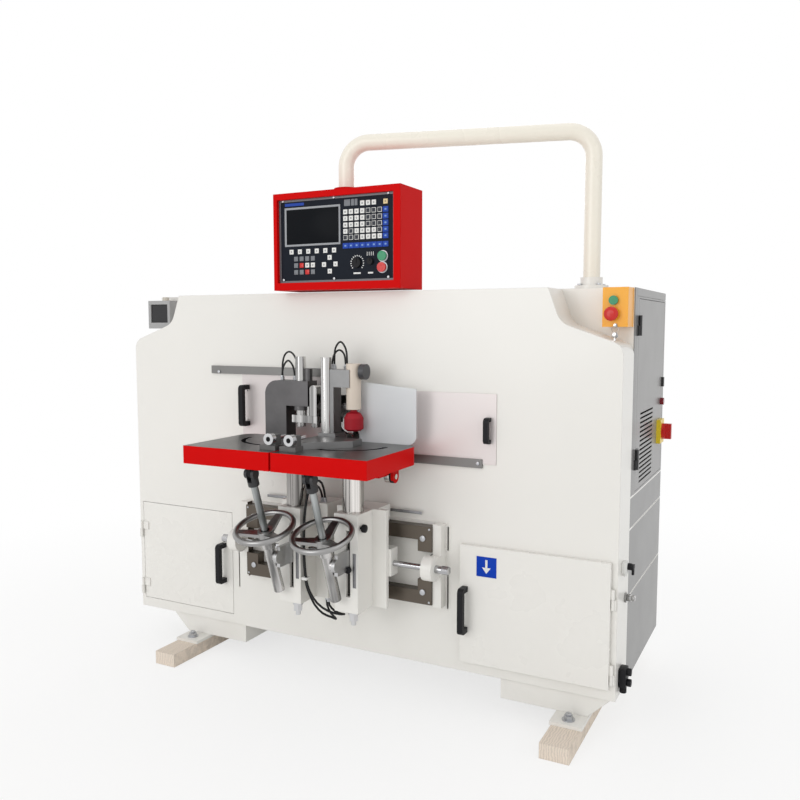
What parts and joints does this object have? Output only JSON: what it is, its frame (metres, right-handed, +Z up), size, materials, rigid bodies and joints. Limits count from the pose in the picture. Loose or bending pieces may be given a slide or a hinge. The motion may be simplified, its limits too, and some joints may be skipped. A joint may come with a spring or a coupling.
{
  "type": "tenoning machine",
  "caption": "Tenoning machine with an enclosed spindle, tilting work tables on height columns, pneumatic clamps, service doors and a control box on a swivelling arm.",
  "frame": {"origin": "on the floor, below the middle of the machine's bounding box", "axes": "+X to the operator's right along the casing, +Y from the operator to the back, +Z up"},
  "size_m": [1.844, 1.1554, 1.792],
  "materials": {
    "ivory_paint": "semi-gloss ivory paint",
    "grey_paint": "semi-gloss grey paint",
    "red_paint": "glossy red paint",
    "timber": "sawn, weathered timber",
    "ground_iron": "ground grey iron",
    "bright_steel": "polished steel",
    "plain_steel": "machined steel",
    "guard_sheet": "bright sheet",
    "black_plastic": "satin black plastic",
    "orange_plastic": "orange plastic",
    "grey_plastic": "light grey plastic",
    "yellow_plastic": "yellow plastic",
    "green_button": "green plastic",
    "red_button": "red plastic",
    "shield_sheet": "clear sheet",
    "hose_rubber": "black hose"
  },
  "bodies": {
    "base": {"base_frame": "ivory_paint", "bearers": "timber", "front_casing": "ivory_paint", "rear_casing": "ivory_paint", "door_hinges": "ivory_paint", "guard_rails": "plain_steel", "saddle_beds": "ground_iron", "cabinet": "grey_paint", "button_box": "orange_plastic", "breaker_box": "grey_plastic", "arm_socket": "ivory_paint"},
    "left_door": {"left_door": "ivory_paint", "left_door_handle": "black_plastic"},
    "right_door": {"right_door": "ivory_paint", "right_door_handle": "black_plastic"},
    "left_guard": {"left_guard": "guard_sheet", "left_guard_handle": "black_plastic"},
    "right_guard": {"right_guard": "guard_sheet", "right_guard_pull": "black_plastic"},
    "cabinet_door": {"cabinet_door": "grey_paint", "cabinet_fittings": "yellow_plastic"},
    "main_switch": {"main_switch_knob": "red_button"},
    "start_button": {"start_button": "green_button"},
    "stop_button": {"stop_button": "red_button"},
    "arm": {"arm_tube": "ivory_paint"},
    "control_box": {"control_box": "red_paint", "control_panel": "black_plastic"},
    "feed_dial": {"feed_dial": "black_plastic"},
    "mode_switch": {"mode_switch": "black_plastic"},
    "panel_start": {"panel_start_button": "green_button"},
    "panel_stop": {"panel_stop_button": "red_button"},
    "left_saddle": {"left_saddle": "ivory_paint", "saddle_hoses": "hose_rubber"},
    "right_saddle": {"right_saddle": "ivory_paint"},
    "left_screw": {"left_lead_screw": "bright_steel"},
    "right_screw": {"right_lead_screw": "bright_steel"},
    "left_column": {"left_column": "bright_steel", "left_strut_bracket": "plain_steel"},
    "right_column": {"right_column": "bright_steel", "right_strut_bracket": "plain_steel"},
    "left_tube": {"left_strut_tube": "bright_steel"},
    "right_tube": {"right_strut_tube": "bright_steel"},
    "left_wheel": {"left_handwheel": "bright_steel"},
    "right_wheel": {"right_handwheel": "bright_steel"},
    "left_rod": {"left_strut_rod": "plain_steel"},
    "right_rod": {"right_strut_rod": "plain_steel"},
    "left_table": {"left_table": "red_paint", "left_clamp_frame": "plain_steel", "left_stop": "ground_iron", "left_clamp_hoses": "hose_rubber"},
    "right_table": {"right_table": "red_paint", "right_clamp_frame": "plain_steel", "right_fence": "ground_iron", "chip_shield": "shield_sheet", "right_stop": "ground_iron", "right_clamp_hoses": "hose_rubber"},
    "left_press": {"left_clamp_press": "bright_steel"},
    "right_foot": {"right_clamp_foot": "red_paint"},
    "carriage": {"spindle_carriage": "grey_paint"},
    "cutter": {"cutter_head": "bright_steel"}
  },
  "joints": [
    {"name": "left_door_hinge", "type": "hinge", "parent": "base", "child": "left_door", "pos_m": [-0.911, -0.18933, 0.34], "axis": [0, 0, 1], "range_deg": [-110, 0]},
    {"name": "right_door_hinge", "type": "hinge", "parent": "base", "child": "right_door", "pos_m": [0.867, -0.19233, 0.34], "axis": [0, 0, 1], "range_deg": [0, 110]},
    {"name": "left_guard_slide", "type": "slide", "parent": "base", "child": "left_guard", "axis": [1, 0, 0], "range_m": [-0.12, 0.07]},
    {"name": "right_guard_slide", "type": "slide", "parent": "base", "child": "right_guard", "axis": [1, 0, 0], "range_m": [-0.08, 0.15]},
    {"name": "cabinet_door_hinge", "type": "hinge", "parent": "base", "child": "cabinet_door", "pos_m": [0.884, 0.01567, 0.98], "axis": [0, 0, 1], "range_deg": [-110, 0]},
    {"name": "main_switch_turn", "type": "hinge", "parent": "cabinet_door", "child": "main_switch", "pos_m": [0.888, 0.40667, 0.833], "axis": [1, 0, 0], "range_deg": [0, 90]},
    {"name": "start_button_press", "type": "slide", "parent": "base", "child": "start_button", "axis": [0, 1, 0], "range_m": [0, 0.0035], "stiffness_N_per_m": 500},
    {"name": "stop_button_press", "type": "slide", "parent": "base", "child": "stop_button", "axis": [0, 1, 0], "range_m": [0, 0.005], "stiffness_N_per_m": 500},
    {"name": "arm_swivel", "type": "hinge", "parent": "base", "child": "arm", "pos_m": [0.736, 0.01667, 1.32], "axis": [0, 0, 1], "range_deg": [-30, 75]},
    {"name": "control_box_swivel", "type": "hinge", "parent": "arm", "child": "control_box", "pos_m": [-0.011, -0.16683, 1.64], "axis": [0, 0, 1], "range_deg": [-60, 60]},
    {"name": "feed_dial_turn", "type": "hinge", "parent": "control_box", "child": "feed_dial", "pos_m": [0.0636, -0.22933, 1.3848], "axis": [0, -1, 0], "range_deg": [-140, 140]},
    {"name": "mode_switch_turn", "type": "hinge", "parent": "control_box", "child": "mode_switch", "pos_m": [0.1116, -0.22933, 1.3879], "axis": [0, -1, 0], "range_deg": [-45, 45]},
    {"name": "panel_start_press", "type": "slide", "parent": "control_box", "child": "panel_start", "axis": [0, 1, 0], "range_m": [0, 0.0025], "stiffness_N_per_m": 500},
    {"name": "panel_stop_press", "type": "slide", "parent": "control_box", "child": "panel_stop", "axis": [0, 1, 0], "range_m": [0, 0.0025], "stiffness_N_per_m": 500},
    {"name": "left_saddle_slide", "type": "slide", "parent": "base", "child": "left_saddle", "axis": [1, 0, 0], "range_m": [-0.12, 0]},
    {"name": "right_saddle_slide", "type": "slide", "parent": "base", "child": "right_saddle", "axis": [1, 0, 0], "range_m": [0, 0.08]},
    {"name": "left_screw_turn", "type": "hinge", "parent": "base", "child": "left_screw", "pos_m": [-0.322, -0.26133, 0.456], "axis": [1, 0, 0], "range_deg": [-8645, 5]},
    {"name": "right_screw_turn", "type": "hinge", "parent": "base", "child": "right_screw", "pos_m": [0.278, -0.26133, 0.456], "axis": [1, 0, 0], "range_deg": [-5, 5765]},
    {"name": "left_column_height", "type": "slide", "parent": "left_saddle", "child": "left_column", "axis": [0, 0, 1], "range_m": [-0.03, 0.05]},
    {"name": "left_tube_swing", "type": "hinge", "parent": "left_column", "child": "left_tube", "pos_m": [-0.117, -0.45233, 0.485], "axis": [1, 0, 0], "range_deg": [-3.1, 5.6]},
    {"name": "left_handwheel_spin", "type": "hinge", "parent": "left_tube", "child": "left_wheel", "pos_m": [-0.117, -0.48544, 0.58148], "axis": [0, -0.3246, 0.9459], "range_deg": [-2206, 1173]},
    {"name": "left_table_tilt", "type": "hinge", "parent": "left_column", "child": "left_table", "pos_m": [-0.098, -0.29333, 0.735], "axis": [1, 0, 0], "range_deg": [-8, 15]},
    {"name": "left_rod_swing", "type": "hinge", "parent": "left_table", "child": "left_rod", "pos_m": [-0.117, -0.54533, 0.756], "axis": [1, 0, 0], "range_deg": [-10.4, 5.8]},
    {"name": "right_column_height", "type": "slide", "parent": "right_saddle", "child": "right_column", "axis": [0, 0, 1], "range_m": [-0.03, 0.05]},
    {"name": "right_tube_swing", "type": "hinge", "parent": "right_column", "child": "right_tube", "pos_m": [0.089, -0.45233, 0.485], "axis": [1, 0, 0], "range_deg": [-3.1, 5.6]},
    {"name": "right_handwheel_spin", "type": "hinge", "parent": "right_tube", "child": "right_wheel", "pos_m": [0.089, -0.48544, 0.58148], "axis": [0, -0.3246, 0.9459], "range_deg": [-2206, 1173]},
    {"name": "right_table_tilt", "type": "hinge", "parent": "right_column", "child": "right_table", "pos_m": [0.108, -0.29333, 0.735], "axis": [1, 0, 0], "range_deg": [-8, 15]},
    {"name": "right_rod_swing", "type": "hinge", "parent": "right_table", "child": "right_rod", "pos_m": [0.089, -0.54533, 0.756], "axis": [1, 0, 0], "range_deg": [-10.4, 5.8]},
    {"name": "left_clamp_press_slide", "type": "slide", "parent": "left_table", "child": "left_press", "axis": [0, 0, 1], "range_m": [-0.036, 0]},
    {"name": "right_clamp_foot_slide", "type": "slide", "parent": "right_table", "child": "right_foot", "axis": [0, 0, 1], "range_m": [-0.036, 0]},
    {"name": "carriage_slide", "type": "slide", "parent": "base", "child": "carriage", "axis": [1, 0, 0], "range_m": [-0.15, 0.15]},
    {"name": "cutter_spin", "type": "hinge", "parent": "carriage", "child": "cutter", "pos_m": [0.002, -0.13333, 0.89], "axis": [0, 1, 0], "continuous": true}
  ],
  "couplings": [
    {"joint": "left_table_tilt", "follows": "left_handwheel_spin", "ratio": -0.0067751},
    {"joint": "left_tube_swing", "follows": "left_handwheel_spin", "ratio": -0.00229},
    {"joint": "left_rod_swing", "follows": "left_handwheel_spin", "ratio": 0.0044851},
    {"joint": "right_table_tilt", "follows": "right_handwheel_spin", "ratio": -0.0067751},
    {"joint": "right_tube_swing", "follows": "right_handwheel_spin", "ratio": -0.00229},
    {"joint": "right_rod_swing", "follows": "right_handwheel_spin", "ratio": 0.0044851},
    {"joint": "left_screw_turn", "follows": "left_saddle_slide", "rad_per_m": 1256.6},
    {"joint": "right_screw_turn", "follows": "right_saddle_slide", "rad_per_m": 1256.6}
  ]
}
